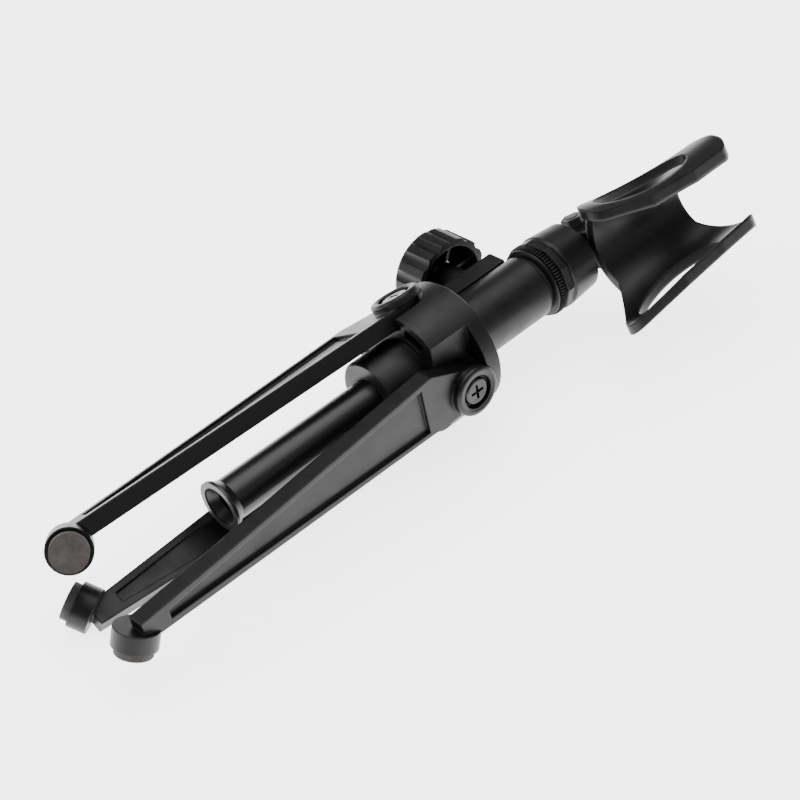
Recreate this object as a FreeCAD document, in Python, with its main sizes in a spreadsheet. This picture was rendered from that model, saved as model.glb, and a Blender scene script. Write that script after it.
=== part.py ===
"""Folding tabletop microphone stand, folded flat and lying on its side.

Every piece is drawn upright in the stand's own frame and then laid down:
  Z runs along the centre tube, from the tube's open lower end up to the clip.
  X is the direction in which the pivot screw of leg 3 points.
A leg is drawn in the frame of leg 3 and turned about Z for the other two. It swings
about X, and its foot moves towards -Y as it opens.
The clip is drawn with its trough opening towards X and its two arms towards +Y and -Y.
"""

import FreeCAD
import Part
import math
import os

import Sketcher

SIZES = {
    # centre tube
    "tube_radius": 6.75,
    "tube_wall": 2.0,
    "tube_top": 131.8,
    "lip_radius": 8.4,
    "lip_height": 3.6,
    "lip_edge": 0.9,
    # hub: core, skirt blocks, flange and sleeve in one moulding
    "core_radius": 12.5,
    "core_bottom": 61.5,
    "hub_radius": 21.2,
    "hub_wall": 2.6,
    "hub_bottom": 76.5,
    "hub_roof": 91.2,
    "flange_top": 97.3,
    "shoulder_radius": 14.2,
    "shoulder_rise": 1.4,
    "sleeve_radius": 10.75,
    "sleeve_top": 131.5,
    "sleeve_chamfer": 0.6,
    "hub_bore_radius": 7.5,
    "block_hollow_inner": 14.8,
    "block_turn": -66.3,
    "block_hollow_sweep": 26.0,
    # liner in the hub bore
    "liner_gap": 0.05,
    "tube_clearance": 0.08,
    # leg pockets and leg pivots
    "seat_face": 14.3,
    "pocket_near_side": 10.7,
    "pocket_far_side": 16.0,
    "pocket_round": 8.6,
    "pocket_ceiling": 91.6,
    "pivot_height": 84.8,
    "pivot_offset": 2.1,
    "open_angle": 64.0,
    "leg_1_swing": 1.6,
    "leg_2_swing": 0.1,
    "leg_3_swing": -1.7,
    # leg
    "leg_inner_face": 14.6,
    "leg_thickness": 5.7,
    "leg_head_radius": 6.6,
    "leg_stop_radius": 6.6,
    "leg_straight_foot": 3.6,
    "leg_kink_width": 12.2,
    "leg_bend_width": 5.5,
    "leg_bend_height": -15.0,
    "leg_foot_width": 3.6,
    "leg_end_height": -45.5,
    "leg_rib": 1.9,
    "leg_recess": 1.3,
    "leg_recess_bottom": -36.0,
    "leg_recess_top": 66.0,
    "leg_boss_radius": 8.2,
    "leg_boss_height": 2.7,
    "leg_counterbore_radius": 5.6,
    "leg_counterbore_depth": 2.0,
    # foot
    "foot_height": -47.1,
    "foot_side": 6.2,
    "foot_face": 15.2,
    "foot_radius": 7.05,
    "foot_cap_height": 6.0,
    "foot_chamfer": 0.8,
    "foot_recess": 1.5,
    "foot_recess_radius": 6.0,
    "foot_pad_radius": 5.85,
    "foot_pad_proud": 2.5,
    # pivot screw, washer and insert
    "screw_radius": 2.0,
    "screw_clearance": 0.08,
    "screw_head_radius": 4.6,
    "screw_head_height": 1.7,
    "screw_tip": 8.9,
    "washer_radius": 5.5,
    "washer_depth": 0.5,
    "insert_radius": 3.2,
    "insert_length": 4.8,
    # clamp boss, knob, screw, nut and pad
    "boss_reach": 16.0,
    "boss_half_width": 7.5,
    "boss_top": 130.6,
    "clamp_height": 119.3,
    "clamp_screw_radius": 2.9,
    "clamp_nut_flats": 10.0,
    "clamp_nut_length": 5.0,
    "clamp_pad_radius": 2.8,
    "knob_start": 23.0,
    "knob_length": 12.0,
    "knob_radius": 14.7,
    "knob_rim_wall": 2.4,
    "knob_hollow_depth": 9.0,
    "knob_hub_radius": 5.2,
    "knob_hub_reach": 5.5,
    "knob_scallop_radius": 2.6,
    "knob_scallop_depth": 0.9,
    "knob_edge": 1.6,
    "knob_rib": 1.3,
    # threaded stud, lock ring and clip base
    "stud_radius": 7.9,
    "stud_bore": 3.5,
    "stud_collar_radius": 9.4,
    "stud_plug_bottom": 112.0,
    "stud_top": 149.0,
    "ring_bottom": 133.1,
    "ring_flange_radius": 12.35,
    "ring_flange_height": 1.2,
    "ring_grip_radius": 12.1,
    "ring_grip_top": 137.0,
    "ring_top": 139.9,
    "ring_facet_radius": 12.7,
    "base_bottom": 140.0,
    "base_low_radius": 12.8,
    "base_top_radius": 11.9,
    "base_top": 151.7,
    "base_chamfer": 0.8,
    "thread_insert_radius": 9.6,
    # clip hinge and cradle
    "clip_turn": -22.0,
    "hinge_height": 160.5,
    "hinge_offset": -3.5,
    "hinge_round": 5.2,
    "hinge_tongue": 3.2,
    "hinge_gap": 0.3,
    "hinge_ear": 3.2,
    "hinge_bolt_radius": 2.0,
    "cradle_wall": 3.3,
    "cradle_start": 133.5,
    "cradle_start_centre": 25.5,
    "cradle_start_depth": 17.0,
    "cradle_start_width": 20.6,
    "cradle_middle": 172.0,
    "cradle_middle_centre": 28.4,
    "cradle_middle_depth": 15.1,
    "cradle_middle_width": 15.2,
    "cradle_end": 204.0,
    "cradle_end_centre": 26.8,
    "cradle_end_depth": 12.2,
    "cradle_end_width": 14.2,
    "cradle_floor_near": 154.0,
    "cradle_floor_far": 189.5,
    "cradle_corner_height": 134.8,
    "cradle_corner_reach": 33.0,
    "cradle_tip_height": 200.5,
    "cradle_tip_reach": 36.5,
    "cradle_bulge": 4.0,
    "window_height": 166.0,
    "window_reach": 30.0,
    "window_length": 40.0,
    "window_width": 13.0,
    "hinge_ear_reach": 10.8,
    # how the folded stand lies
    "rest_roll": -79.313,
    "rest_pitch": -1.142,
}

LEG_TURNS = (-120.0, 120.0, 0.0)

doc = FreeCAD.newDocument("microphone_stand")
sheet = doc.addObject("Spreadsheet::Sheet", "Sizes")
for row, (alias, value) in enumerate(SIZES.items(), start=1):
    sheet.set("A%d" % row, alias)
    sheet.set("B%d" % row, str(value))
    sheet.setAlias("B%d" % row, alias)
doc.recompute()


def size(alias):
    """A driving dimension, read back from the sheet."""
    return float(sheet.get(alias))


def cell(text):
    """Turn '{alias}' marks into references to the sheet."""
    return text.replace("{", "Sizes.").replace("}", "")


def new_body(label):
    """An empty PartDesign body whose label names its node."""
    body = doc.addObject("PartDesign::Body", label)
    body.Label = label
    return body


def new_sketch(body, name, role, lift=None):
    """A sketch on one of the body's own origin planes, lifted along that plane's normal."""
    sketch = body.newObject("Sketcher::SketchObject", name)
    plane = [item for item in body.Origin.OriginFeatures if item.Role == role][0]
    sketch.AttachmentSupport = [(plane, "")]
    sketch.MapMode = "FlatFace"
    if lift is not None:
        sketch.setExpression("AttachmentOffset.Base.z", cell(lift))
    return sketch


def place_point(sketch, geometry, end, across, along):
    """Hold one point of the sketch at coordinates taken from the sheet."""
    for kind, text in (("DistanceX", across), ("DistanceY", along)):
        index = sketch.addConstraint(Sketcher.Constraint(kind, -1, 1, geometry, end, 1.0))
        sketch.setExpression("Constraints[%d]" % index, cell(text))


def add_outline(sketch, corners):
    """A closed outline of straight edges through the given corners."""
    first = sketch.GeometryCount
    count = len(corners)
    points = []
    for number in range(count):
        turn = 2 * math.pi * number / count
        points.append(FreeCAD.Vector(10 * math.cos(turn), 10 * math.sin(turn), 0))
    for number in range(count):
        edge = Part.LineSegment(points[number], points[(number + 1) % count])
        sketch.addGeometry(edge, False)
    for number in range(count):
        follower = first + (number + 1) % count
        sketch.addConstraint(Sketcher.Constraint("Coincident", first + number, 2, follower, 1))
    for number, (across, along) in enumerate(corners):
        place_point(sketch, first + number, 1, across, along)


def add_circle(sketch, across, along, radius):
    """A circle whose centre and radius come from the sheet."""
    index = sketch.addGeometry(Part.Circle(FreeCAD.Vector(1, 1, 0), FreeCAD.Vector(0, 0, 1), 3.0), False)
    place_point(sketch, index, 3, across, along)
    rule = sketch.addConstraint(Sketcher.Constraint("Radius", index, 3.0))
    sketch.setExpression("Constraints[%d]" % rule, cell(radius))


def finish_feature(feature, shrinks=None):
    """Recompute, and check that the feature changed its body's volume the right way."""
    before = feature.BaseFeature.Shape.Volume if feature.BaseFeature else 0.0
    doc.recompute()
    if "Invalid" in feature.State or feature.Shape.isNull():
        raise RuntimeError("%s failed" % feature.Label)
    if shrinks is True and feature.Shape.Volume >= before - 1e-3:
        raise RuntimeError("%s cuts nothing" % feature.Label)
    if shrinks is False and feature.Shape.Volume <= before + 1e-3:
        raise RuntimeError("%s adds nothing" % feature.Label)
    return feature


def pad(body, sketch, length, backwards=False):
    """Raise a sketch into a solid."""
    feature = body.newObject("PartDesign::Pad", sketch.Name + "_pad")
    feature.Profile = sketch
    feature.setExpression("Length", cell(length))
    feature.Reversed = backwards
    return finish_feature(feature, shrinks=False)


def pocket(body, sketch, depth, backwards=False):
    """Sink a sketch into the solid."""
    feature = body.newObject("PartDesign::Pocket", sketch.Name + "_cut")
    feature.Profile = sketch
    feature.setExpression("Length", cell(depth))
    feature.Reversed = backwards
    return finish_feature(feature, shrinks=True)


def revolve(body, sketch):
    """Turn a profile about the upright axis of its sketch."""
    feature = body.newObject("PartDesign::Revolution", sketch.Name + "_turned")
    feature.Profile = sketch
    feature.ReferenceAxis = (sketch, ["V_Axis"])
    feature.Angle = 360.0
    return finish_feature(feature, shrinks=False)


def repeat(body, features, count):
    """Repeat features evenly about the body's upright axis."""
    pattern = body.newObject("PartDesign::PolarPattern", features[0].Name + "_round")
    pattern.Originals = features
    axis = [item for item in body.Origin.OriginFeatures if item.Role == "Z_Axis"][0]
    pattern.Axis = (axis, [""])
    pattern.Angle = 360.0
    pattern.Occurrences = count
    body.Tip = pattern
    return finish_feature(pattern)


def primitive(body, kind, name, placement, cuts=None, **sizes):
    """A PartDesign primitive, such as AdditiveCylinder, with sizes from the sheet."""
    feature = body.newObject("PartDesign::" + kind, name)
    for field, text in sizes.items():
        if isinstance(text, str):
            feature.setExpression(field, cell(text))
        else:
            setattr(feature, field, text)
    feature.MapMode = "Deactivated"
    feature.Placement = placement
    return finish_feature(feature, shrinks=cuts)


def round_edges(body, feature, radius, chosen, kind="Fillet"):
    """Fillet or chamfer the edges that the test picks."""
    names = ["Edge%d" % (number + 1) for number, edge in enumerate(feature.Shape.Edges) if chosen(edge)]
    if not names:
        raise RuntimeError("no edge to round on %s" % feature.Label)
    rounding = body.newObject("PartDesign::" + kind, feature.Name + "_" + kind.lower())
    rounding.Base = (feature, names)
    rounding.setExpression("Radius" if kind == "Fillet" else "Size", cell(radius))
    return finish_feature(rounding)


def placed(x=0.0, y=0.0, z=0.0, axis=(0, 0, 1), angle=0.0):
    """A placement from a position and one turn."""
    return FreeCAD.Placement(FreeCAD.Vector(x, y, z), FreeCAD.Rotation(FreeCAD.Vector(*axis), angle))


def turned_profile(label, corners):
    """A body of revolution about Z: corners are radius and height."""
    body = new_body(label)
    sketch = new_sketch(body, label + "_profile", "XZ_Plane")
    add_outline(sketch, corners)
    revolve(body, sketch)
    return body


def is_round(edge, radius, height=None):
    """True for a circular edge about Z with this radius, at this height if one is given."""
    if not isinstance(edge.Curve, Part.Circle):
        return False
    if abs(edge.Curve.Radius - radius) > 1e-3:
        return False
    return height is None or abs(edge.Curve.Center.z - height) < 1e-3


# ---------------------------------------------------------------- centre tube and its fittings

def centre_tube():
    """Thin tube, flared outwards at its open lower end."""
    inner = "{tube_radius} - {tube_wall}"
    return turned_profile("centre_tube", [
        (inner, "{tube_top}"),
        (inner, "{lip_height}"),
        ("{lip_radius} - {tube_wall}", "{lip_edge} * 0.6"),
        ("{lip_radius} - {tube_wall}", "0"),
        ("{lip_radius}", "0"),
        ("{lip_radius}", "{lip_edge}"),
        ("{tube_radius}", "{lip_height}"),
        ("{tube_radius}", "{tube_top}"),
    ])


def thread_stud():
    """Threaded nipple plugged into the tube's upper end; its collar seats on the tube."""
    plug = "{tube_radius} - {tube_wall} - {liner_gap}"
    return turned_profile("thread_stud", [
        ("{stud_bore}", "{stud_plug_bottom}"),
        (plug, "{stud_plug_bottom}"),
        (plug, "{tube_top} + {liner_gap}"),
        ("{stud_collar_radius}", "{tube_top} + {liner_gap}"),
        ("{stud_collar_radius}", "{ring_bottom} - {liner_gap}"),
        ("{stud_radius}", "{ring_bottom} - {liner_gap}"),
        ("{stud_radius}", "{stud_top} - 0.8"),
        ("{stud_radius} - 0.8", "{stud_top}"),
        ("{stud_bore}", "{stud_top}"),
    ])


def lock_ring():
    """Ring nut under the clip: a thin flange, a finely ribbed grip and a faceted top."""
    bore = "{stud_radius} + {screw_clearance}"
    body = turned_profile("lock_ring", [
        (bore, "{ring_bottom}"),
        ("{ring_flange_radius}", "{ring_bottom}"),
        ("{ring_flange_radius}", "{ring_bottom} + {ring_flange_height}"),
        ("{ring_grip_radius}", "{ring_bottom} + {ring_flange_height}"),
        ("{ring_grip_radius}", "{ring_grip_top}"),
        (bore, "{ring_grip_top}"),
    ])
    primitive(body, "AdditivePrism", "ring_facets", placed(z=size("ring_grip_top")), cuts=False,
              Polygon=10, Circumradius="{ring_facet_radius}", Height="{ring_top} - {ring_grip_top}")
    bore_sketch = new_sketch(body, "ring_bore", "XY_Plane", "{ring_top}")
    add_circle(bore_sketch, "0", "0", bore)
    pocket(body, bore_sketch, "{ring_top} - {ring_grip_top} + 1")
    return body


# ---------------------------------------------------------------- hub

def hub_body():
    """Core, three skirt blocks, flange and sleeve in one moulding, with the clamp boss."""
    body = turned_profile("hub_body", [
        ("{hub_bore_radius}", "{core_bottom}"),
        ("{core_radius} - 0.8", "{core_bottom}"),
        ("{core_radius}", "{core_bottom} + 0.8"),
        ("{core_radius}", "{hub_bottom}"),
        ("{hub_radius}", "{hub_bottom}"),
        ("{hub_radius}", "{flange_top} - 0.5"),
        ("{hub_radius} - 0.5", "{flange_top}"),
        ("{shoulder_radius}", "{flange_top}"),
        ("{sleeve_radius}", "{flange_top} + {shoulder_rise}"),
        ("{sleeve_radius}", "{sleeve_top} - {sleeve_chamfer}"),
        ("{sleeve_radius} - {sleeve_chamfer}", "{sleeve_top}"),
        ("{hub_bore_radius}", "{sleeve_top}"),
    ])

    # leg pockets: open outwards and downwards, with a round end above the pivot
    slot = new_sketch(body, "leg_pocket", "YZ_Plane", "{seat_face}")
    add_outline(slot, [
        ("{pocket_near_side}", "{hub_bottom} - 1"),
        ("{pocket_near_side}", "{pivot_height}"),
        ("{pivot_offset}", "{pivot_height}"),
        ("{pivot_offset}", "{pocket_ceiling}"),
        ("-{pocket_far_side}", "{pocket_ceiling}"),
        ("-{pocket_far_side}", "{hub_bottom} - 1"),
    ])
    slot_cut = pocket(body, slot, "{hub_radius}", backwards=True)
    crown = new_sketch(body, "pocket_crown", "YZ_Plane", "{seat_face}")
    add_circle(crown, "{pivot_offset}", "{pivot_height}", "{pocket_round}")
    crown_cut = pocket(body, crown, "{hub_radius}", backwards=True)

    # recess for the thrust washer, and the hole for the threaded insert
    seat = new_sketch(body, "washer_seat", "YZ_Plane", "{seat_face}")
    add_circle(seat, "{pivot_offset}", "{pivot_height}", "{washer_radius} + 0.2")
    seat_cut = pocket(body, seat, "{washer_depth}")
    hole = new_sketch(body, "insert_hole", "YZ_Plane", "{seat_face}")
    add_circle(hole, "{pivot_offset}", "{pivot_height}", "{insert_radius} + {liner_gap}")
    hole_cut = pocket(body, hole, "{washer_depth} + {insert_length} + 0.6")
    repeat(body, [slot_cut, crown_cut, seat_cut, hole_cut], 3)

    # each block is a skirt, hollow from below
    hollow = new_sketch(body, "block_hollow", "XZ_Plane")
    hollow.AttachmentOffset = placed(axis=(0, 1, 0), angle=size("block_turn"))
    add_outline(hollow, [
        ("{block_hollow_inner}", "{hub_bottom} - 1"),
        ("{hub_radius} - {hub_wall}", "{hub_bottom} - 1"),
        ("{hub_radius} - {hub_wall}", "{hub_roof}"),
        ("{block_hollow_inner}", "{hub_roof}"),
    ])
    groove = body.newObject("PartDesign::Groove", "block_hollow_cut")
    groove.Profile = hollow
    groove.ReferenceAxis = (hollow, ["V_Axis"])
    groove.setExpression("Angle", cell("{block_hollow_sweep}"))
    groove.Midplane = True
    finish_feature(groove, shrinks=True)
    repeat(body, [groove], 3)

    # clamp boss along the sleeve, with the screw hole and the nut's seat
    boss = new_sketch(body, "clamp_boss", "XY_Plane", "{flange_top} - 0.5")
    add_outline(boss, [
        ("-{boss_reach}", "-{boss_half_width}"),
        ("-{hub_bore_radius} - 1.2", "-{boss_half_width}"),
        ("-{hub_bore_radius} - 1.2", "{boss_half_width}"),
        ("-{boss_reach}", "{boss_half_width}"),
    ])
    boss_pad = pad(body, boss, "{boss_top} - {flange_top} + 0.5")
    reach = size("boss_reach")
    top = size("boss_top")
    round_edges(body, boss_pad, "1.0",
                lambda edge: edge.BoundBox.XMax < 0.5 - reach and edge.BoundBox.ZMax > top - 0.01)
    across = placed(x=-size("hub_bore_radius") + 2, z=size("clamp_height"), axis=(0, 1, 0), angle=-90)
    primitive(body, "SubtractiveCylinder", "clamp_hole", across, cuts=True,
              Radius="{clamp_screw_radius} + 0.3", Height="{boss_reach}")
    nut_seat = placed(x=-reach - 1, z=size("clamp_height"), axis=(0, 1, 0), angle=90)
    primitive(body, "SubtractivePrism", "nut_seat", nut_seat, cuts=True, Polygon=6,
              Circumradius="({clamp_nut_flats} + 0.2) / cos(30 deg) / 2",
              Height="{clamp_nut_length} + 1.1")
    return body


def sleeve_liner():
    """Thin plastic liner in the hub's bore, in which the tube slides."""
    inner = "{tube_radius} + {tube_clearance}"
    outer = "{hub_bore_radius} - {liner_gap}"
    body = turned_profile("sleeve_liner", [
        (inner, "{core_bottom}"),
        (outer, "{core_bottom}"),
        (outer, "{sleeve_top}"),
        (inner, "{sleeve_top}"),
    ])
    across = placed(x=-size("tube_radius") + 1, z=size("clamp_height"), axis=(0, 1, 0), angle=-90)
    primitive(body, "SubtractiveCylinder", "pad_hole", across, cuts=True,
              Radius="{clamp_screw_radius} + 0.3", Height="{hub_bore_radius}")
    return body


# ---------------------------------------------------------------- legs and their pivots

def leg(number):
    """Ribbed leg with a round boss at the pivot and a round cap that holds the foot pad."""
    body = new_body("leg_%d" % number)
    slab = new_sketch(body, "slab", "YZ_Plane", "{leg_inner_face}")
    add_outline(slab, [
        ("{pivot_offset} + {leg_head_radius}", "{pivot_height}"),
        ("{pivot_offset}", "{pivot_height}"),
        ("{pivot_offset} - {leg_stop_radius} * sin({open_angle} * 1 deg)",
         "{pivot_height} + {leg_stop_radius} * cos({open_angle} * 1 deg)"),
        ("-{leg_kink_width}",
         "{pivot_height} + ({leg_stop_radius} - ({leg_kink_width} + {pivot_offset})"
         " * sin({open_angle} * 1 deg)) / cos({open_angle} * 1 deg)"),
        ("-{leg_bend_width}", "{leg_bend_height}"),
        ("-{leg_foot_width}", "{leg_end_height}"),
        ("{leg_straight_foot}", "{leg_end_height}"),
    ])
    slab_pad = pad(body, slab, "{leg_thickness}")
    kink = size("leg_kink_width")
    bend = size("leg_bend_width")
    round_edges(body, slab_pad, "3.0", lambda edge: is_across(edge, -kink) or is_across(edge, -bend))
    head = new_sketch(body, "head", "YZ_Plane", "{leg_inner_face}")
    add_circle(head, "{pivot_offset}", "{pivot_height}", "{leg_head_radius}")
    pad(body, head, "{leg_thickness}")

    for name, lift, backwards in (("inner_web", "{leg_inner_face}", True),
                                  ("outer_web", "{leg_inner_face} + {leg_thickness}", False)):
        web = new_sketch(body, name, "YZ_Plane", lift)
        add_outline(web, [
            ("{pivot_offset} + {leg_head_radius} - {leg_rib} - 0.4", "{leg_recess_top}"),
            ("-{leg_kink_width} + {leg_rib} + 0.3", "{leg_recess_top}"),
            ("-{leg_bend_width} + {leg_rib}", "{leg_bend_height}"),
            ("-{leg_foot_width} + {leg_rib}", "{leg_recess_bottom}"),
            ("{leg_straight_foot} - {leg_rib}", "{leg_recess_bottom}"),
        ])
        pocket(body, web, "{leg_recess}", backwards=backwards)

    boss = new_sketch(body, "boss", "YZ_Plane", "{leg_inner_face} + {leg_thickness}")
    add_circle(boss, "{pivot_offset}", "{pivot_height}", "{leg_boss_radius}")
    boss_pad = pad(body, boss, "{leg_boss_height}")
    outer_face = size("leg_inner_face") + size("leg_thickness") + size("leg_boss_height")
    round_edges(body, boss_pad, "0.9", lambda edge: is_flat_ring(edge, outer_face))

    up = placed(x=size("foot_face"), y=size("foot_side"), z=size("foot_height"),
                axis=(1, 0, 0), angle=size("open_angle"))
    primitive(body, "AdditiveCylinder", "foot_cap", up, cuts=False,
              Radius="{foot_radius}", Height="{foot_cap_height}")
    recess = up.multiply(placed(z=-1.0))
    primitive(body, "SubtractiveCylinder", "pad_recess", recess, cuts=True,
              Radius="{foot_recess_radius}", Height="{foot_recess} + 1")

    outer_lift = "{leg_inner_face} + {leg_thickness} + {leg_boss_height}"
    counterbore = new_sketch(body, "counterbore", "YZ_Plane", outer_lift)
    add_circle(counterbore, "{pivot_offset}", "{pivot_height}", "{leg_counterbore_radius}")
    pocket(body, counterbore, "{leg_counterbore_depth}")
    hole = new_sketch(body, "pivot_hole", "YZ_Plane", outer_lift)
    add_circle(hole, "{pivot_offset}", "{pivot_height}", "{screw_radius} + {screw_clearance}")
    pocket(body, hole, "{leg_thickness} + {leg_boss_height} + 1")
    return body


def is_across(edge, side):
    """True for a straight edge through the leg's thickness at this distance to the side."""
    box = edge.BoundBox
    return box.XLength > 1.0 and box.YLength < 1e-6 and abs(box.YMin - side) < 1e-3


def is_flat_ring(edge, face):
    """True for a whole circle that lies in the plane X = face."""
    box = edge.BoundBox
    return box.XLength < 1e-6 and abs(box.XMin - face) < 1e-3 and abs(box.YLength - box.ZLength) < 1e-3


def foot_pad(number):
    """Soft round pad glued into the foot cap."""
    body = new_body("foot_pad_%d" % number)
    up = placed(x=size("foot_face"), y=size("foot_side"), z=size("foot_height"),
                axis=(1, 0, 0), angle=size("open_angle"))
    start = up.multiply(placed(z=-size("foot_pad_proud")))
    primitive(body, "AdditiveCylinder", "pad_disc", start,
              Radius="{foot_pad_radius}", Height="{foot_pad_proud} + {foot_recess} - {liner_gap}")
    return body


def along_pivot(distance):
    """Placement on the pivot axis, Z pointing outwards, at a distance from the tube's axis."""
    return placed(x=distance, y=size("pivot_offset"), z=size("pivot_height"), axis=(0, 1, 0), angle=90)


def pivot_screw(number):
    """Pan-head screw on which the leg turns, with a cross recess in its head."""
    body = new_body("pivot_screw_%d" % number)
    floor = (size("leg_inner_face") + size("leg_thickness") + size("leg_boss_height")
             - size("leg_counterbore_depth") + size("liner_gap"))
    primitive(body, "AdditiveCylinder", "shank", along_pivot(size("screw_tip")),
              Radius="{screw_radius}",
              Height="{leg_inner_face} + {leg_thickness} + {leg_boss_height}"
                     " - {leg_counterbore_depth} - {screw_tip} + 0.5")
    head = primitive(body, "AdditiveCylinder", "pan_head", along_pivot(floor), cuts=False,
                     Radius="{screw_head_radius}", Height="{screw_head_height}")
    top = floor + size("screw_head_height")
    round_edges(body, head, "{screw_head_height} * 0.6", lambda edge: is_flat_ring(edge, top))
    for name, turn in (("cross_one", 0), ("cross_two", 90)):
        blade = along_pivot(top - 1.0).multiply(placed(axis=(0, 0, 1), angle=turn))
        corner = blade.multiply(placed(x=-2.5, y=-0.5))
        primitive(body, "SubtractiveBox", name, corner, cuts=True, Length=5.0, Width=1.0, Height=2.0)
    return body


def pivot_washer(number):
    """Thrust washer between hub and leg, sunk in the hub's seat."""
    body = new_body("pivot_washer_%d" % number)
    sketch = new_sketch(body, "washer_ring", "YZ_Plane", "{seat_face} - {washer_depth} + 0.02")
    add_circle(sketch, "{pivot_offset}", "{pivot_height}", "{washer_radius}")
    add_circle(sketch, "{pivot_offset}", "{pivot_height}", "{screw_radius} + {screw_clearance}")
    pad(body, sketch, "{leg_inner_face} - {seat_face} + {washer_depth} - {liner_gap} - 0.02")
    return body


def pivot_insert(number):
    """Threaded brass insert moulded into the hub behind the leg."""
    body = new_body("pivot_insert_%d" % number)
    sketch = new_sketch(body, "insert_ring", "YZ_Plane",
                        "{seat_face} - {washer_depth} - {insert_length} - 0.3")
    add_circle(sketch, "{pivot_offset}", "{pivot_height}", "{insert_radius}")
    add_circle(sketch, "{pivot_offset}", "{pivot_height}", "{screw_radius} + 0.02")
    pad(body, sketch, "{insert_length}")
    return body


# ---------------------------------------------------------------- height clamp

def clamp_knob():
    """Fluted cup-shaped knob, drawn with its open side down; its outer face points along Z."""
    body = new_body("clamp_knob")
    disc = new_sketch(body, "disc", "XY_Plane")
    add_circle(disc, "0", "0", "{knob_radius}")
    disc_pad = pad(body, disc, "{knob_length}")
    top = size("knob_length")
    radius = size("knob_radius")
    round_edges(body, disc_pad, "{knob_edge}", lambda edge: is_round(edge, radius, top))
    hollow = new_sketch(body, "hollow", "XY_Plane")
    add_circle(hollow, "0", "0", "{knob_radius} - {knob_rim_wall}")
    pocket(body, hollow, "{knob_hollow_depth}", backwards=True)
    hub = new_sketch(body, "hub", "XY_Plane", "{knob_length} - 1")
    add_circle(hub, "0", "0", "{knob_hub_radius}")
    pad(body, hub, "{knob_length} - 1 + {knob_hub_reach}", backwards=True)
    rib = new_sketch(body, "rib", "XY_Plane", "{knob_length} - {knob_hollow_depth} * 0.85")
    add_outline(rib, [
        ("{knob_hub_radius} - 1", "-{knob_rib} / 2"),
        ("{knob_radius} - {knob_rim_wall} + 0.5", "-{knob_rib} / 2"),
        ("{knob_radius} - {knob_rim_wall} + 0.5", "{knob_rib} / 2"),
        ("{knob_hub_radius} - 1", "{knob_rib} / 2"),
    ])
    rib_pad = pad(body, rib, "{knob_hollow_depth} * 0.85 - 1")
    repeat(body, [rib_pad], 6)
    flute = new_sketch(body, "flute", "XY_Plane")
    add_circle(flute, "{knob_radius} + {knob_scallop_radius} - {knob_scallop_depth}", "0",
               "{knob_scallop_radius}")
    flute_cut = pocket(body, flute, "{knob_length} + 1", backwards=True)
    repeat(body, [flute_cut], 14)
    bore = new_sketch(body, "bore", "XY_Plane", "-{knob_hub_reach} - 1")
    add_circle(bore, "0", "0", "{clamp_screw_radius} + 0.02")
    pocket(body, bore, "{knob_hub_reach} + 1 + {knob_length} - 4", backwards=True)
    seat = placed(z=size("knob_length") - 8.0)
    primitive(body, "SubtractivePrism", "head_seat", seat, cuts=True, Polygon=6,
              Circumradius="({clamp_nut_flats} + 0.04) / cos(30 deg) / 2", Height=4.0)
    return body


def clamp_screw():
    """Steel clamp screw, drawn like the knob; its hexagon head is held inside the knob."""
    body = new_body("clamp_screw")
    tip = size("knob_start") - (size("tube_radius") + 1.8)
    primitive(body, "AdditiveCylinder", "shank", placed(z=-tip), Radius="{clamp_screw_radius}",
              Height="{knob_start} - {tube_radius} - 1.8 + {knob_length} - 6")
    primitive(body, "AdditivePrism", "head", placed(z=size("knob_length") - 7.98), cuts=False, Polygon=6,
              Circumradius="{clamp_nut_flats} / cos(30 deg) / 2", Height=3.96)
    return body


def clamp_nut():
    """Hexagon nut held in the clamp boss."""
    body = new_body("clamp_nut")
    primitive(body, "AdditivePrism", "hexagon",
              placed(x=-size("boss_reach") + 0.1, z=size("clamp_height"), axis=(0, 1, 0), angle=90),
              Polygon=6, Circumradius="{clamp_nut_flats} / cos(30 deg) / 2",
              Height="{clamp_nut_length}")
    primitive(body, "SubtractiveCylinder", "thread",
              placed(x=-size("boss_reach") - 1, z=size("clamp_height"), axis=(0, 1, 0), angle=90),
              cuts=True, Radius="{clamp_screw_radius} + 0.06", Height="{clamp_nut_length} + 3")
    return body


def clamp_pad():
    """Small nylon pad that the clamp screw presses against the tube."""
    body = new_body("clamp_pad")
    start = placed(x=-size("tube_radius") - 0.1, z=size("clamp_height"), axis=(0, 1, 0), angle=-90)
    primitive(body, "AdditiveCylinder", "disc", start, Radius="{clamp_pad_radius}", Height=1.6)
    return body


# ---------------------------------------------------------------- clip

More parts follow.
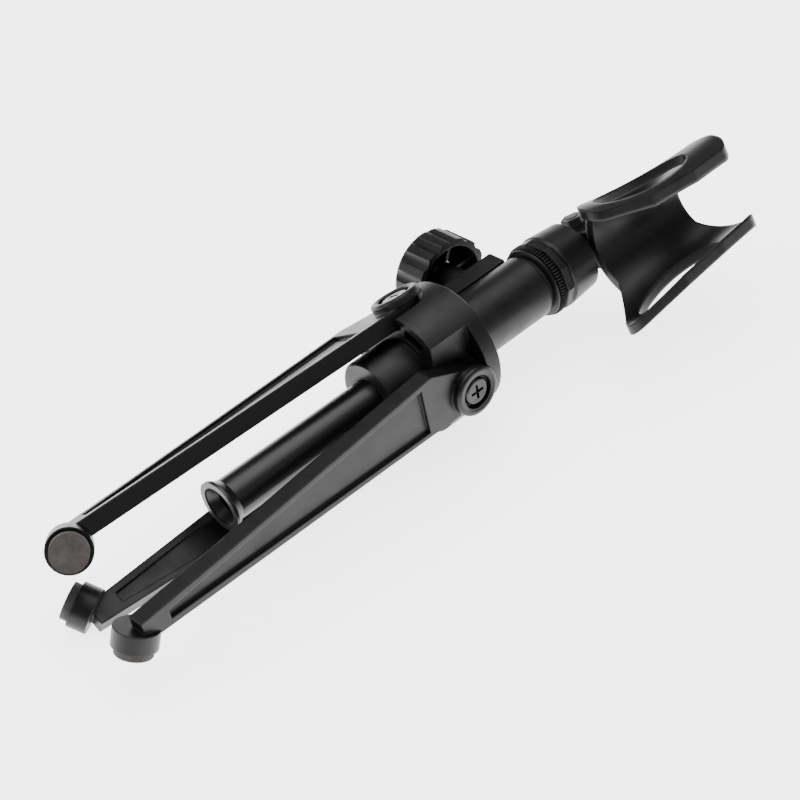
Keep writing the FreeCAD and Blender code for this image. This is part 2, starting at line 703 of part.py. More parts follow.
def clip_base():
    """Threaded lower half of the clip, with the middle tongue of its hinge."""
    body = turned_profile("clip_base", [
        ("{stud_radius} + 0.4", "{base_bottom}"),
        ("{base_low_radius} - {base_chamfer}", "{base_bottom}"),
        ("{base_low_radius}", "{base_bottom} + {base_chamfer}"),
        ("{base_top_radius}", "{base_top}"),
        ("0", "{base_top}"),
        ("0", "{stud_top} + 0.6"),
        ("{thread_insert_radius} + {liner_gap}", "{stud_top} + 0.6"),
        ("{thread_insert_radius} + {liner_gap}", "{base_bottom} + 1"),
        ("{stud_radius} + 0.4", "{base_bottom} + 1"),
    ])
    tongue = new_sketch(body, "tongue", "XZ_Plane")
    add_outline(tongue, [
        ("{hinge_offset} - {hinge_round}", "{base_top} - 0.5"),
        ("{hinge_offset} + {hinge_round}", "{base_top} - 0.5"),
        ("{hinge_offset} + {hinge_round}", "{hinge_height}"),
        ("{hinge_offset} - {hinge_round}", "{hinge_height}"),
    ])
    tongue_pad = pad(body, tongue, "{hinge_tongue} * 2")
    tongue_pad.Midplane = True
    knuckle = new_sketch(body, "knuckle", "XZ_Plane")
    add_circle(knuckle, "{hinge_offset}", "{hinge_height}", "{hinge_round}")
    knuckle_pad = pad(body, knuckle, "{hinge_tongue} * 2")
    knuckle_pad.Midplane = True
    bolt_hole = new_sketch(body, "bolt_hole", "XZ_Plane")
    add_circle(bolt_hole, "{hinge_offset}", "{hinge_height}", "{hinge_bolt_radius} + 0.05")
    bolt_cut = body.newObject("PartDesign::Pocket", "bolt_hole_cut")
    bolt_cut.Profile = bolt_hole
    bolt_cut.Midplane = True
    bolt_cut.setExpression("Length", cell("{hinge_tongue} * 2 + 2"))
    finish_feature(bolt_cut, shrinks=True)
    return body


def thread_insert():
    """Brass thread insert moulded into the clip base."""
    return turned_profile("thread_insert", [
        ("{stud_radius} + {screw_clearance}", "{base_bottom} + 1.05"),
        ("{thread_insert_radius}", "{base_bottom} + 1.05"),
        ("{thread_insert_radius}", "{stud_top} + 0.55"),
        ("{stud_radius} + {screw_clearance}", "{stud_top} + 0.55"),
    ])


def hinge_bolt():
    """Bolt of the clip hinge, with a round head."""
    body = new_body("hinge_bolt")
    half = size("hinge_tongue") + size("hinge_gap") + size("hinge_ear")
    start = placed(x=size("hinge_offset"), y=half + 0.1, z=size("hinge_height"), axis=(1, 0, 0), angle=90)
    primitive(body, "AdditiveCylinder", "shank", start, Radius="{hinge_bolt_radius}",
              Height="({hinge_tongue} + {hinge_gap} + {hinge_ear}) * 2 + 3.4")
    head = placed(x=size("hinge_offset"), y=half + 2.2, z=size("hinge_height"), axis=(1, 0, 0), angle=90)
    primitive(body, "AdditiveCylinder", "head", head, cuts=False,
              Radius="{hinge_bolt_radius} + 2", Height=2.1)
    return body


def hinge_nut():
    """Lock nut of the clip hinge."""
    body = new_body("hinge_nut")
    half = size("hinge_tongue") + size("hinge_gap") + size("hinge_ear")
    start = placed(x=size("hinge_offset"), y=-half - 0.1, z=size("hinge_height"), axis=(1, 0, 0), angle=90)
    primitive(body, "AdditivePrism", "hexagon", start, Polygon=6, Circumradius=4.0, Height=3.0)
    through = placed(x=size("hinge_offset"), y=-half + 1, z=size("hinge_height"), axis=(1, 0, 0), angle=90)
    primitive(body, "SubtractiveCylinder", "thread", through, cuts=True,
              Radius="{hinge_bolt_radius} + 0.02", Height=6.0)
    return body


def cradle_ellipse(name, stage, wall):
    """One cross-section of the trough: an ellipse, wider than deep, at its own height."""
    ellipse = doc.addObject("Part::Ellipse", name)
    ellipse.setExpression("MajorRadius", cell("{cradle_%s_width} + %s" % (stage, wall)))
    ellipse.setExpression("MinorRadius", cell("{cradle_%s_depth} + %s" % (stage, wall)))
    ellipse.Placement = placed(x=size("cradle_%s_centre" % stage), z=size("cradle_%s" % stage),
                               axis=(0, 0, 1), angle=90)
    return ellipse


def cradle_loft(name, wall):
    """A smooth solid through the trough's three cross-sections."""
    loft = doc.addObject("Part::Loft", name)
    loft.Sections = [cradle_ellipse(name + "_" + stage, stage, wall) for stage in ("start", "middle", "end")]
    loft.Solid = True
    return loft


def cradle_side():
    """The trough seen from the side: slanted near rim, bulging free edges, round tips."""
    body = new_body("cradle_side")
    sketch = new_sketch(body, "side_outline", "XZ_Plane")
    add_outline(sketch, [
        ("0", "{cradle_floor_near}"),
        ("{cradle_middle_centre} - {cradle_middle_depth} + 1.6", "{cradle_floor_near}"),
        ("{cradle_corner_reach}", "{cradle_corner_height}"),
        ("({cradle_corner_reach} + {cradle_tip_reach}) / 2 + {cradle_bulge}",
         "{cradle_corner_height} + ({cradle_tip_height} - {cradle_corner_height}) * 0.4"),
        ("{cradle_tip_reach} + {cradle_bulge} * 0.5", "{cradle_tip_height} - 20"),
        ("{cradle_tip_reach}", "{cradle_tip_height}"),
        ("{cradle_tip_reach} - 8", "{cradle_tip_height}"),
        ("{cradle_middle_centre} - {cradle_middle_depth} + 4", "{cradle_floor_far} + 1.5"),
        ("0", "{cradle_floor_far}"),
    ])
    block = pad(body, sketch, "4 * {cradle_start_width}")
    block.Midplane = True
    finish_feature(block)
    tip = size("cradle_tip_height")
    reach = size("cradle_tip_reach")
    corner = size("cradle_corner_height")
    near = size("cradle_corner_reach")
    corners = round_edges(body, block, "5.0", lambda edge: is_sideways(edge, near, corner))
    tips = round_edges(body, corners, "5.6", lambda edge: is_sideways(edge, reach, tip))
    round_edges(body, tips, "2.8", lambda edge: is_sideways(edge, reach - 8, tip))
    return body


def is_sideways(edge, reach, height=None):
    """True for a straight edge along Y at this reach, and at this height if one is given."""
    box = edge.BoundBox
    if box.YLength < 1.0 or box.XLength > 1e-6 or abs(box.XMin - reach) > 1e-3:
        return False
    return height is None or abs(box.ZMin - height) < 1e-3


def cradle_ears():
    """The two hinge ears under the trough's floor, with the bolt hole."""
    body = new_body("cradle_ears")
    arm = new_sketch(body, "ear_arm", "XZ_Plane")
    add_outline(arm, [
        ("{hinge_offset}", "{hinge_height} - {hinge_round}"),
        ("{hinge_ear_reach}", "{hinge_height} - {hinge_round}"),
        ("{hinge_ear_reach}", "{hinge_height} + {hinge_round}"),
        ("{hinge_offset}", "{hinge_height} + {hinge_round}"),
    ])
    width = "({hinge_tongue} + {hinge_gap} + {hinge_ear}) * 2"
    arm_pad = pad(body, arm, width)
    arm_pad.Midplane = True
    end = new_sketch(body, "ear_end", "XZ_Plane")
    add_circle(end, "{hinge_offset}", "{hinge_height}", "{hinge_round}")
    end_pad = pad(body, end, width)
    end_pad.Midplane = True
    slot = new_sketch(body, "ear_slot", "XZ_Plane")
    add_outline(slot, [
        ("{hinge_offset} - {hinge_round} - 1", "{hinge_height} - {hinge_round} - 1"),
        ("{hinge_ear_reach} + 1", "{hinge_height} - {hinge_round} - 1"),
        ("{hinge_ear_reach} + 1", "{hinge_height} + {hinge_round} + 1"),
        ("{hinge_offset} - {hinge_round} - 1", "{hinge_height} + {hinge_round} + 1"),
    ])
    slot_cut = pocket(body, slot, "({hinge_tongue} + {hinge_gap}) * 2")
    slot_cut.Midplane = True
    hole = new_sketch(body, "ear_hole", "XZ_Plane")
    add_circle(hole, "{hinge_offset}", "{hinge_height}", "{hinge_bolt_radius} + 0.06")
    hole_cut = pocket(body, hole, width + " + 2")
    hole_cut.Midplane = True
    finish_feature(hole_cut)
    return body


def cradle_window(name, side):
    """Oval cutter that pierces one arm, from outside it to the trough's middle."""
    oval = doc.addObject("Part::Ellipse", "window_oval_" + name)
    oval.setExpression("MajorRadius", cell("{window_length} / 2"))
    oval.setExpression("MinorRadius", cell("{window_width} / 2"))
    upright = placed(axis=(1, 0, 0), angle=90).multiply(placed(axis=(0, 0, 1), angle=90))
    beside = side * 2 * size("cradle_start_width")
    oval.Placement = placed(x=size("window_reach"), y=beside, z=size("window_height")).multiply(upright)
    window = doc.addObject("Part::Extrusion", "cradle_window_" + name)
    window.Base = oval
    window.DirMode = "Custom"
    window.Dir = FreeCAD.Vector(0, -side, 0)
    window.setExpression("LengthFwd", cell("2 * {cradle_start_width}"))
    window.Solid = True
    return window


def combine(kind, name, base, tool):
    """One boolean of two solids, with its seams kept as they are."""
    result = doc.addObject("Part::" + kind, name)
    result.Base = base
    result.Tool = tool
    result.Refine = False
    return result


def clip_cradle():
    """Tapered trough with two spread arms, an oval window in each, and hinge ears behind."""
    outside = cradle_loft("cradle_outside", "{cradle_wall}")
    inside = cradle_loft("cradle_inside", "0")
    shell = combine("Cut", "cradle_shell", outside, inside)
    trimmed = combine("Common", "cradle_trimmed", shell, cradle_side())
    one_window = combine("Cut", "cradle_one_window", trimmed, cradle_window("near", 1))
    pierced = combine("Cut", "cradle_pierced", one_window, cradle_window("far", -1))
    cradle = combine("Fuse", "clip_cradle", pierced, cradle_ears())
    doc.recompute()
    return cradle


# ---------------------------------------------------------------- laying the stand down

UPRIGHT = placed()
CLIP_TURN = placed(axis=(0, 0, 1), angle=size("clip_turn"))
KNOB_SEAT = placed(x=-size("knob_start"), z=size("clamp_height"), axis=(0, 1, 0), angle=-90)


def leg_swing(number):
    """How far a folded leg stands off its parallel place, about its own pivot."""
    turn = FreeCAD.Rotation(FreeCAD.Vector(-1, 0, 0), size("leg_%d_swing" % number))
    pivot = FreeCAD.Vector(0, size("pivot_offset"), size("pivot_height"))
    return FreeCAD.Placement(FreeCAD.Vector(), turn, pivot)


def make_pieces():
    """Every piece with its place in the upright stand."""
    pieces = [
        (hub_body(), UPRIGHT),
        (sleeve_liner(), UPRIGHT),
        (centre_tube(), UPRIGHT),
        (thread_stud(), UPRIGHT),
        (lock_ring(), UPRIGHT),
        (clamp_nut(), UPRIGHT),
        (clamp_pad(), UPRIGHT),
        (clamp_knob(), KNOB_SEAT),
        (clamp_screw(), KNOB_SEAT),
        (clip_base(), CLIP_TURN),
        (thread_insert(), CLIP_TURN),
        (clip_cradle(), CLIP_TURN),
        (hinge_bolt(), CLIP_TURN),
        (hinge_nut(), CLIP_TURN),
    ]
    for number, turn in enumerate(LEG_TURNS, start=1):
        turned = placed(axis=(0, 0, 1), angle=turn)
        swung = turned.multiply(leg_swing(number))
        for make in (leg, foot_pad):
            pieces.append((make(number), swung))
        for make in (pivot_screw, pivot_washer, pivot_insert):
            pieces.append((make(number), turned))
    return pieces


def lying_turn():
    """Turn that lays the stand down: Z to +X, and the side at rest_roll straight up."""
    roll = math.radians(size("rest_roll"))
    along = FreeCAD.Vector(0, 0, 1)
    side = FreeCAD.Vector(math.sin(roll), -math.cos(roll), 0)
    up = FreeCAD.Vector(math.cos(roll), math.sin(roll), 0)
    flat = FreeCAD.Rotation(along, side, up, "XYZ").inverted()
    pitch = FreeCAD.Rotation(FreeCAD.Vector(0, 1, 0), size("rest_pitch"))
    return FreeCAD.Placement(FreeCAD.Vector(), pitch.multiply(flat))


def lay_down(pieces):
    """Lay every piece down, then set the whole on the ground with its middle at the origin."""
    turn = lying_turn()
    reach = FreeCAD.BoundBox()
    for piece, seat in pieces:
        piece.Placement = turn.multiply(seat)
    doc.recompute()
    for piece, seat in pieces:
        reach.add(piece.Shape.optimalBoundingBox(False))
    shift = FreeCAD.Vector(-reach.Center.x, -reach.Center.y, -reach.ZMin)
    for piece, seat in pieces:
        piece.Placement = FreeCAD.Placement(shift, FreeCAD.Rotation()).multiply(piece.Placement)
    doc.recompute()


def check_everything(pieces):
    """Stop if any object failed or any piece is not one closed, valid solid."""
    for thing in doc.Objects:
        if "Invalid" in thing.State or "Error" in thing.State:
            raise RuntimeError("%s: %s" % (thing.Label, thing.State))
    for piece, seat in pieces:
        shape = piece.Shape
        if shape.isNull() or not shape.isValid():
            raise RuntimeError("%s has no valid shape" % piece.Label)
        if len(shape.Solids) != 1:
            raise RuntimeError("%s has %d solids" % (piece.Label, len(shape.Solids)))


all_pieces = make_pieces()
lay_down(all_pieces)
check_everything(all_pieces)
os.makedirs("parts", exist_ok=True)
for piece, seat in all_pieces:
    piece.Shape.exportStep("parts/%s.step" % piece.Label)
    print("%-16s %9.1f mm3" % (piece.Label, piece.Shape.Volume))
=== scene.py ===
"""Looks for the folded tabletop microphone stand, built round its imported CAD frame.

The scene is in metres, in the frame's own axes: X along the stand, Z up. The pieces made here are
drawn in the upright stand instead, in millimetres with the tube along Z, and stand_matrix() lays
them down.
"""

import math

import bmesh
import bpy
from mathutils import Matrix, Vector


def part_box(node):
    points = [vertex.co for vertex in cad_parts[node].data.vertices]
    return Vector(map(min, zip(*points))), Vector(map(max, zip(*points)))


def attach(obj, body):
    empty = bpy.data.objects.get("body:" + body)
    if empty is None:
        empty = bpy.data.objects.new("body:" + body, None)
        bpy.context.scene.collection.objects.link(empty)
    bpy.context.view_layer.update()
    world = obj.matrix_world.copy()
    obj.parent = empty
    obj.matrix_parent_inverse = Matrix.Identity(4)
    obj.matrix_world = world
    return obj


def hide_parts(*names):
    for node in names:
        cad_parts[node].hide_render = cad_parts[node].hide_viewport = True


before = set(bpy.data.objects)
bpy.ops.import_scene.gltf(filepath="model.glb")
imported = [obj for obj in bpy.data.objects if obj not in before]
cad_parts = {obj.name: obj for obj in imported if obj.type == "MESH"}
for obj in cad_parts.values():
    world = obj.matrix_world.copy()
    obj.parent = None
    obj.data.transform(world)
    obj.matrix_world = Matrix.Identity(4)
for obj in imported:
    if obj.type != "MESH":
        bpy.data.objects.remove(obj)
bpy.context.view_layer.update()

MM = 0.001
LEGS = (1, 2, 3)


# ---------------------------------------------------------------- shader building blocks

ROUND_SAMPLES = 6
WEAR_SAMPLES = 4
WEAR_RADIUS = 0.6 * MM


def new_material(name):
    """An empty node material, its node tree and its Principled shader."""
    material = bpy.data.materials.new(name)
    material.use_nodes = True
    tree = material.node_tree
    shader = tree.nodes["Principled BSDF"]
    return material, tree, shader


def set_inputs(node, values):
    """Set a node's inputs by name."""
    for socket, value in values.items():
        node.inputs[socket].default_value = value


def noise(tree, scale, detail=3.0, roughness=0.5, stretch=None):
    """Noise in object space; scale counts features per metre. stretch squeezes it along the axes."""
    source = tree.nodes.new("ShaderNodeTexCoord").outputs["Object"]
    if stretch is not None:
        mapping = tree.nodes.new("ShaderNodeMapping")
        set_inputs(mapping, {"Scale": stretch})
        tree.links.new(source, mapping.inputs["Vector"])
        source = mapping.outputs["Vector"]
    texture = tree.nodes.new("ShaderNodeTexNoise")
    set_inputs(texture, {"Scale": scale, "Detail": detail, "Roughness": roughness})
    tree.links.new(source, texture.inputs["Vector"])
    return texture.outputs["Fac"]


def remap(tree, value, low, high, start=0.3, end=0.7):
    """value from start to end becomes low to high."""
    node = tree.nodes.new("ShaderNodeMapRange")
    set_inputs(node, {"From Min": start, "From Max": end, "To Min": low, "To Max": high})
    tree.links.new(value, node.inputs["Value"])
    return node.outputs["Result"]


def mix_colours(tree, factor, first, second):
    """Blend of two colours; first is a colour or another node's output."""
    node = tree.nodes.new("ShaderNodeMix")
    node.data_type = "RGBA"
    if isinstance(first, bpy.types.NodeSocket):
        tree.links.new(first, node.inputs["A"])
    else:
        node.inputs["A"].default_value = (*first, 1.0)
    node.inputs["B"].default_value = (*second, 1.0)
    tree.links.new(factor, node.inputs["Factor"])
    return node.outputs["Result"]


def mottle(tree, pattern, dark, light):
    """Dark to light across the middle of a noise pattern's range."""
    return mix_colours(tree, remap(tree, pattern, 0.0, 1.0), dark, light)


def rounded_normal(tree, radius, samples):
    """The surface normal, turned near edges as if they were rounded to the radius."""
    rounded = tree.nodes.new("ShaderNodeBevel")
    rounded.samples = samples
    set_inputs(rounded, {"Radius": radius})
    return rounded.outputs["Normal"]


def add_bump(tree, shader, layers, edge):
    """Bump layers (height, strength, distance) on top of softly rounded edges."""
    normal = rounded_normal(tree, edge, ROUND_SAMPLES)
    for height, strength, distance in layers:
        bump = tree.nodes.new("ShaderNodeBump")
        set_inputs(bump, {"Strength": strength, "Distance": distance})
        tree.links.new(height, bump.inputs["Height"])
        tree.links.new(normal, bump.inputs["Normal"])
        normal = bump.outputs["Normal"]
    tree.links.new(normal, shader.inputs["Normal"])


def edge_wear(tree):
    """Near 1 along edges, where handling polishes the surface, and 0 on flat faces."""
    geometry = tree.nodes.new("ShaderNodeNewGeometry")
    product = tree.nodes.new("ShaderNodeVectorMath")
    product.operation = "DOT_PRODUCT"
    tree.links.new(rounded_normal(tree, WEAR_RADIUS, WEAR_SAMPLES), product.inputs[0])
    tree.links.new(geometry.outputs["Normal"], product.inputs[1])
    return remap(tree, product.outputs["Value"], 1.0, 0.0, start=0.75, end=0.99)


def multiply(tree, first, second):
    """Product of two values."""
    node = tree.nodes.new("ShaderNodeMath")
    node.operation = "MULTIPLY"
    tree.links.new(first, node.inputs[0])
    tree.links.new(second, node.inputs[1])
    return node.outputs["Value"]


# ---------------------------------------------------------------- materials

RUBBED_GAIN = 1.9
STAIN_GAIN = 0.62
ALONG = (0.2, 1.0, 1.0)
FAR_ALONG = (0.12, 1.0, 1.0)


def moulded_plastic(name, dark, light, rough, grain=2600.0, flow=None, edge=0.35 * MM):
    """Satin moulded plastic: fine spark-eroded grain, faint flow marks and paler rubbed edges."""
    material, tree, shader = new_material(name)
    flow_marks = noise(tree, scale=38.0, detail=4.0, roughness=0.55, stretch=flow)
    fine = noise(tree, scale=grain, detail=2.0, roughness=0.6)
    cloud = noise(tree, scale=160.0, detail=5.0, roughness=0.6)
    patchy = remap(tree, cloud, 0.1, 0.7, start=0.35, end=0.65)
    worn = multiply(tree, edge_wear(tree), patchy)
    rubbed = [min(1.0, part * RUBBED_GAIN) for part in light]
    colour = mix_colours(tree, worn, mottle(tree, flow_marks, dark, light), rubbed)
    tree.links.new(colour, shader.inputs["Base Color"])
    tree.links.new(remap(tree, cloud, *rough), shader.inputs["Roughness"])
    set_inputs(shader, {"IOR": 1.5, "Specular IOR Level": 0.28})
    add_bump(tree, shader, [(flow_marks, 0.10, 0.4 * MM), (fine, 0.16, 0.06 * MM)], edge)
    return material


def painted_tube(name, dark, light):
    """Satin powder paint on a drawn tube: orange peel and faint marks along the tube."""
    material, tree, shader = new_material(name)
    peel = noise(tree, scale=900.0, detail=2.0)
    rubs = noise(tree, scale=60.0, detail=5.0, roughness=0.65, stretch=FAR_ALONG)
    tree.links.new(mottle(tree, rubs, dark, light), shader.inputs["Base Color"])
    tree.links.new(remap(tree, rubs, 0.30, 0.44), shader.inputs["Roughness"])
    set_inputs(shader, {"Specular IOR Level": 0.35, "Coat Weight": 0.1, "Coat Roughness": 0.25})
    add_bump(tree, shader, [(peel, 0.22, 0.12 * MM)], edge=0.25 * MM)
    return material


def plated_steel(name, colour, rough=(0.22, 0.38)):
    """Metal with fine turning marks and faint stains."""
    material, tree, shader = new_material(name)
    marks = noise(tree, scale=700.0, detail=4.0, roughness=0.7)
    stain = noise(tree, scale=220.0)
    stained = [part * STAIN_GAIN for part in colour]
    tree.links.new(mottle(tree, stain, stained, colour), shader.inputs["Base Color"])
    tree.links.new(remap(tree, marks, *rough), shader.inputs["Roughness"])
    set_inputs(shader, {"Metallic": 1.0})
    add_bump(tree, shader, [(marks, 0.12, 0.05 * MM)], edge=0.15 * MM)
    return material


def foam_rubber(name, dark, light):
    """Matt soft pad: open pores and dusty patches."""
    material, tree, shader = new_material(name)
    pores = noise(tree, scale=1500.0, detail=4.0, roughness=0.7)
    patches = noise(tree, scale=260.0, detail=4.0, roughness=0.6)
    tree.links.new(mottle(tree, patches, dark, light), shader.inputs["Base Color"])
    tree.links.new(remap(tree, pores, 0.78, 0.95), shader.inputs["Roughness"])
    set_inputs(shader, {"Sheen Weight": 0.12, "Sheen Roughness": 0.5})
    add_bump(tree, shader, [(pores, 0.55, 0.18 * MM)], edge=0.4 * MM)
    return material


BLACK = (0.0018, 0.0018, 0.0019)
SOFT_BLACK = (0.0038, 0.0038, 0.0040)

hub_plastic = moulded_plastic("hub_plastic", BLACK, SOFT_BLACK, rough=(0.36, 0.50))
leg_plastic = moulded_plastic("leg_plastic", BLACK, SOFT_BLACK, rough=(0.34, 0.46),
                              grain=2200.0, flow=ALONG, edge=0.7 * MM)
clip_plastic = moulded_plastic("clip_plastic", (0.002, 0.002, 0.0021), (0.0042, 0.0041, 0.0042),
                               rough=(0.32, 0.44), edge=1.2 * MM)
knob_plastic = moulded_plastic("knob_plastic", BLACK, SOFT_BLACK, rough=(0.36, 0.48))
nylon = moulded_plastic("nylon", (0.008, 0.008, 0.008), (0.014, 0.014, 0.014), rough=(0.45, 0.6))
tube_paint = painted_tube("tube_paint", (0.0025, 0.0025, 0.0026), (0.005, 0.005, 0.0052))
screw_black = plated_steel("screw_black", (0.045, 0.045, 0.047), rough=(0.26, 0.42))
bright_zinc = plated_steel("bright_zinc", (0.72, 0.71, 0.68), rough=(0.16, 0.3))
turned_alloy = plated_steel("turned_alloy", (0.75, 0.75, 0.76))
knurled_brass = plated_steel("knurled_brass", (0.66, 0.48, 0.2))
pad_rubber = foam_rubber("pad_rubber", (0.022, 0.019, 0.017), (0.050, 0.043, 0.039))


# ---------------------------------------------------------------- finishes of the CAD pieces

FINISHES = {
    "hub_body": hub_plastic,
    "sleeve_liner": nylon,
    "centre_tube": tube_paint,
    "thread_stud": nylon,
    "lock_ring": hub_plastic,
    "clip_base": hub_plastic,
    "thread_insert": turned_alloy,
    "clip_cradle": clip_plastic,
    "hinge_bolt": nylon,
    "hinge_nut": nylon,
    "clamp_knob": knob_plastic,
    "clamp_screw": bright_zinc,
    "clamp_nut": bright_zinc,
    "clamp_pad": nylon,
}
for number in LEGS:
    FINISHES["leg_%d" % number] = leg_plastic
    FINISHES["foot_pad_%d" % number] = pad_rubber
    FINISHES["pivot_screw_%d" % number] = screw_black
    FINISHES["pivot_washer_%d" % number] = bright_zinc
    FINISHES["pivot_insert_%d" % number] = knurled_brass

for node, finish in FINISHES.items():
    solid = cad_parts[node]
    if not solid.data.materials:
        solid.data.materials.append(finish)
    for slot in solid.material_slots:
        slot.material = finish


# ---------------------------------------------------------------- pieces made here

STAND_ROLL = math.radians(-79.313)
STAND_PITCH = math.radians(-1.142)
RING_MIDDLE = 136.5


def stand_matrix():
    """From the upright stand to the lying one: the lock ring's middle goes to where the frame has it."""
    flat = Matrix((
        (0.0, 0.0, 1.0),
        (math.sin(STAND_ROLL), -math.cos(STAND_ROLL), 0.0),
        (math.cos(STAND_ROLL), math.sin(STAND_ROLL), 0.0),
    ))
    turn = (Matrix.Rotation(STAND_PITCH, 3, "Y") @ flat).to_4x4()
    low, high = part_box("lock_ring")
    middle = (Vector(low) + Vector(high)) / 2
    upright_middle = Vector((0.0, 0.0, RING_MIDDLE))
    return Matrix.Translation(middle) @ turn @ Matrix.Scale(MM, 4) @ Matrix.Translation(-upright_middle)


def ring_shape(profile, steps, place):
    """Closed ring of as many steps; place gives the point of a profile entry at a turn."""
    shape = bmesh.new()
    rows = []
    for entry in profile:
        rows.append([shape.verts.new(place(entry, 2 * math.pi * step / steps)) for step in range(steps)])
    for row, next_row in zip(rows, rows[1:] + rows[:1]):
        for step in range(steps):
            following = (step + 1) % steps
            shape.faces.new((row[step], row[following], next_row[following], next_row[step]))
    return shape


def new_piece(name, shape, finish, body, smooth_angle):
    """Turn a bmesh drawn in the upright stand into a piece that rides on a body."""
    bmesh.ops.recalc_face_normals(shape, faces=shape.faces)
    for face in shape.faces:
        face.smooth = True
    limit = math.radians(smooth_angle)
    for edge in shape.edges:
        if edge.calc_face_angle(0.0) > limit:
            edge.smooth = False
    mesh = bpy.data.meshes.new(name)
    shape.to_mesh(mesh)
    shape.free()
    mesh.transform(stand_matrix())
    mesh.materials.append(finish)
    piece = bpy.data.objects.new(name, mesh)
    bpy.context.scene.collection.objects.link(piece)
    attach(piece, body)
    return piece


# The lock ring's sizes, with heights counted from its middle.
RING_RIBS = 72
RING_SIDES = 10
RING_STEPS = 720
RING_BORE = 7.98
RING_BOTTOM = -3.4
RING_TOP = 3.38
FLANGE_RADIUS = 11.9
FLANGE_TOP = -2.5
GROOVE_RADIUS = 11.0
BAND_RADIUS = 12.6
BAND_BOTTOM = -1.8
BAND_TOP = -0.2
NECK_RADIUS = 11.3
FACET_RADIUS = 12.85
FACET_BOTTOM = 0.7


def round_radius(radius):
    """The same radius all round."""
    return lambda turn: radius


def ribbed_radius(radius, depth):
    """A radius with fine ribs all round."""
    return lambda turn: radius - depth * (0.5 - 0.5 * math.cos(RING_RIBS * turn)) ** 1.4


def faceted_radius(radius):
    """A radius with flat sides all round."""
    step = 2 * math.pi / RING_SIDES
    return lambda turn: radius * math.cos(step / 2) / math.cos(turn % step - step / 2)


def make_lock_ring():
    """Ring nut under the clip: thin flange, groove, finely ribbed band and faceted top."""
    profile = [
        (RING_BOTTOM, round_radius(RING_BORE)),
        (RING_BOTTOM, round_radius(FLANGE_RADIUS - 0.3)),
        (RING_BOTTOM + 0.2, round_radius(FLANGE_RADIUS)),
        (FLANGE_TOP - 0.25, round_radius(FLANGE_RADIUS)),
        (FLANGE_TOP - 0.05, round_radius(FLANGE_RADIUS - 0.3)),
        (FLANGE_TOP, round_radius(GROOVE_RADIUS)),
        (BAND_BOTTOM - 0.45, round_radius(GROOVE_RADIUS)),
        (BAND_BOTTOM - 0.4, ribbed_radius(BAND_RADIUS - 0.5, 0.7)),
        (BAND_BOTTOM, ribbed_radius(BAND_RADIUS, 1.0)),
        (BAND_TOP, ribbed_radius(BAND_RADIUS, 1.0)),
        (BAND_TOP + 0.3, ribbed_radius(BAND_RADIUS - 0.4, 0.7)),
        (BAND_TOP + 0.35, round_radius(NECK_RADIUS)),
        (FACET_BOTTOM - 0.35, round_radius(NECK_RADIUS)),
        (FACET_BOTTOM - 0.3, faceted_radius(FACET_RADIUS - 0.35)),
        (FACET_BOTTOM, faceted_radius(FACET_RADIUS)),
        (RING_TOP - 0.33, faceted_radius(FACET_RADIUS)),
        (RING_TOP, faceted_radius(FACET_RADIUS - 0.35)),
        (RING_TOP, round_radius(RING_BORE)),
    ]

    def place(entry, turn):
        """Point round the tube's axis."""
        height, radius = entry
        reach = radius(turn)
        return reach * math.cos(turn), reach * math.sin(turn), RING_MIDDLE + height

    shape = ring_shape(profile, RING_STEPS, place)
    piece = new_piece("lock_ring_ribbed", shape, hub_plastic, "ring", smooth_angle=35.0)
    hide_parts("lock_ring")


# Each leg's turn about the tube in degrees, and the middle of a pivot boss's outer face at turn 0.
LEG_TURNS = (-120.0, 120.0, 0.0)
BOSS_MIDDLE = Vector((23.0, 2.1, 84.8))
BOSS_STEPS = 96

# The rim's section from its outer foot over the crown to its inner foot: distance from the pivot's
# axis, and rise above the boss's outer face.
BOSS_RIM = (
    (8.05, -1.7),
    (8.27, -1.2),
    (8.27, -0.7),
    (8.08, -0.2),
    (7.65, 0.16),
    (7.0, 0.3),
    (6.35, 0.16),
    (5.9, -0.18),
    (5.64, -0.7),
    (5.56, -1.7),
)


def make_boss_rim(number, leg_turn):
    """Rounded rim that crowns a leg's pivot boss, round the sunk screw head."""
    about = Matrix.Rotation(math.radians(leg_turn), 4, "Z")

    def place(entry, turn):
        """Point round the pivot's axis."""
        radius, rise = entry
        return about @ (BOSS_MIDDLE + Vector((rise, radius * math.cos(turn), radius * math.sin(turn))))

    shape = ring_shape(BOSS_RIM, BOSS_STEPS, place)
    new_piece("boss_rim_%d" % number, shape, leg_plastic, "leg_%d" % number,
              smooth_angle=60.0)


make_lock_ring()
for number, leg_turn in zip(LEGS, LEG_TURNS):
    make_boss_rim(number, leg_turn)


# ---------------------------------------------------------------- floor, light and camera

FLOOR_REACH = 6.0
FLOOR_DROP = 0.2 * MM
FLOOR_GLOW = 3.2
WORLD_GLOW = 0.25
WHITE = (1.0, 1.0, 1.0, 1.0)

FLOOR_MIDDLE = (0.0, 0.0, 0.0)
STAND_MIDDLE = (0.0, 0.0, 0.02)

CAMERA_PLACE = (-0.32999, -0.34599, 0.49488)
CAMERA_TARGET = (-0.01079, -0.00948, 0.03)
CAMERA_ROLL = math.radians(-1.1074)
CAMERA_LENS = 98.16
CAMERA_SENSOR = 36.0


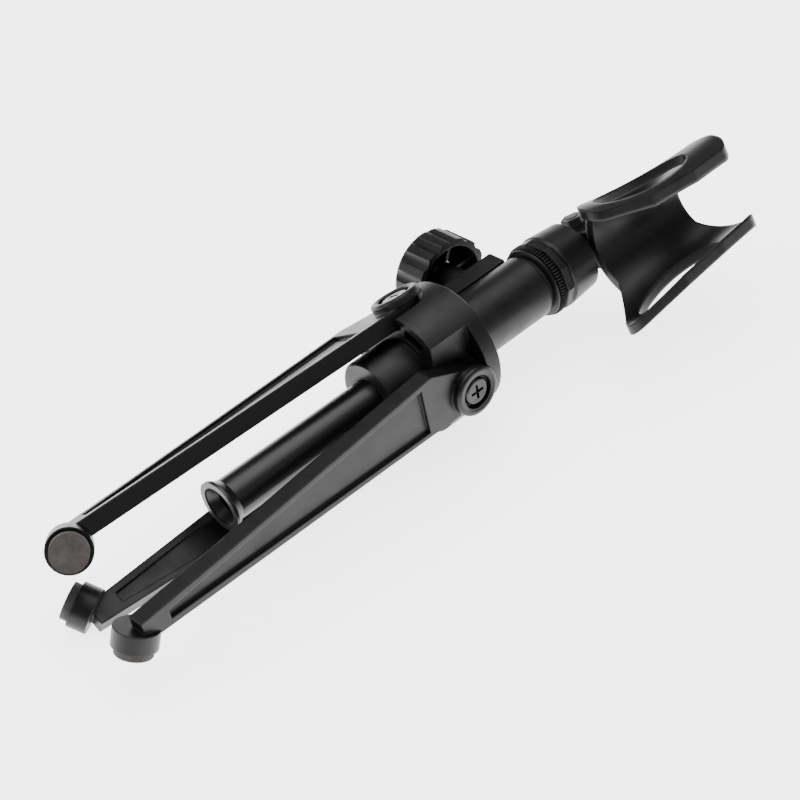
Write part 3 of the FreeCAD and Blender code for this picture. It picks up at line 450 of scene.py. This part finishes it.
def make_floor():
    """Plain pale flat floor that glows a little, just under the stand."""
    mesh = bpy.data.meshes.new("floor")
    shape = bmesh.new()
    bmesh.ops.create_grid(shape, x_segments=2, y_segments=2, size=FLOOR_REACH)
    shape.to_mesh(mesh)
    shape.free()
    floor = bpy.data.objects.new("floor", mesh)
    floor.location.z = -FLOOR_DROP
    bpy.context.scene.collection.objects.link(floor)
    material, tree, shader = new_material("floor_white")
    grain = noise(tree, scale=3.0)
    tree.links.new(mix_colours(tree, grain, (0.90, 0.90, 0.90), (0.93, 0.93, 0.93)),
                   shader.inputs["Base Color"])
    set_inputs(shader, {"Roughness": 0.75, "Emission Color": WHITE, "Emission Strength": FLOOR_GLOW})
    mesh.materials.append(material)


def aimed(place, target, roll=0.0):
    """Matrix that puts a lamp or camera at place, looks at target and rolls about the line of sight."""
    aim = Vector(target) - Vector(place)
    turn = aim.to_track_quat("-Z", "Y").to_matrix() @ Matrix.Rotation(roll, 3, "Z")
    return Matrix.Translation(place) @ turn.to_4x4()


def make_light(name, place, target, size, power):
    """Rectangular soft box at place, aimed at target."""
    lamp = bpy.data.lights.new(name, "AREA")
    lamp.shape = "RECTANGLE"
    lamp.size, lamp.size_y = size
    lamp.energy = power
    holder = bpy.data.objects.new(name, lamp)
    holder.matrix_world = aimed(place, target)
    bpy.context.scene.collection.objects.link(holder)


def make_camera():
    """Camera that looks down on the stand from beyond its feet, to one side."""
    lens = bpy.data.cameras.new("camera")
    lens.sensor_width = CAMERA_SENSOR
    lens.lens = CAMERA_LENS
    lens.clip_start = 10 * MM
    camera = bpy.data.objects.new("camera", lens)
    camera.matrix_world = aimed(CAMERA_PLACE, CAMERA_TARGET, CAMERA_ROLL)
    bpy.context.scene.collection.objects.link(camera)
    bpy.context.scene.camera = camera


def make_world():
    """Even white light from all round."""
    world = bpy.data.worlds.new("studio")
    world.use_nodes = True
    set_inputs(world.node_tree.nodes["Background"], {"Color": WHITE, "Strength": WORLD_GLOW})
    bpy.context.scene.world = world


make_floor()
make_light("top_box", (0.1, 0.2, 1.1), FLOOR_MIDDLE, size=(1.2, 1.2), power=19.0)
make_light("left_box", (-0.9, 0.5, 0.6), STAND_MIDDLE, size=(0.6, 0.6), power=8.0)
make_light("front_box", (0.3, -0.9, 0.5), STAND_MIDDLE, size=(1.0, 0.4), power=0.7)
make_camera()
make_world()
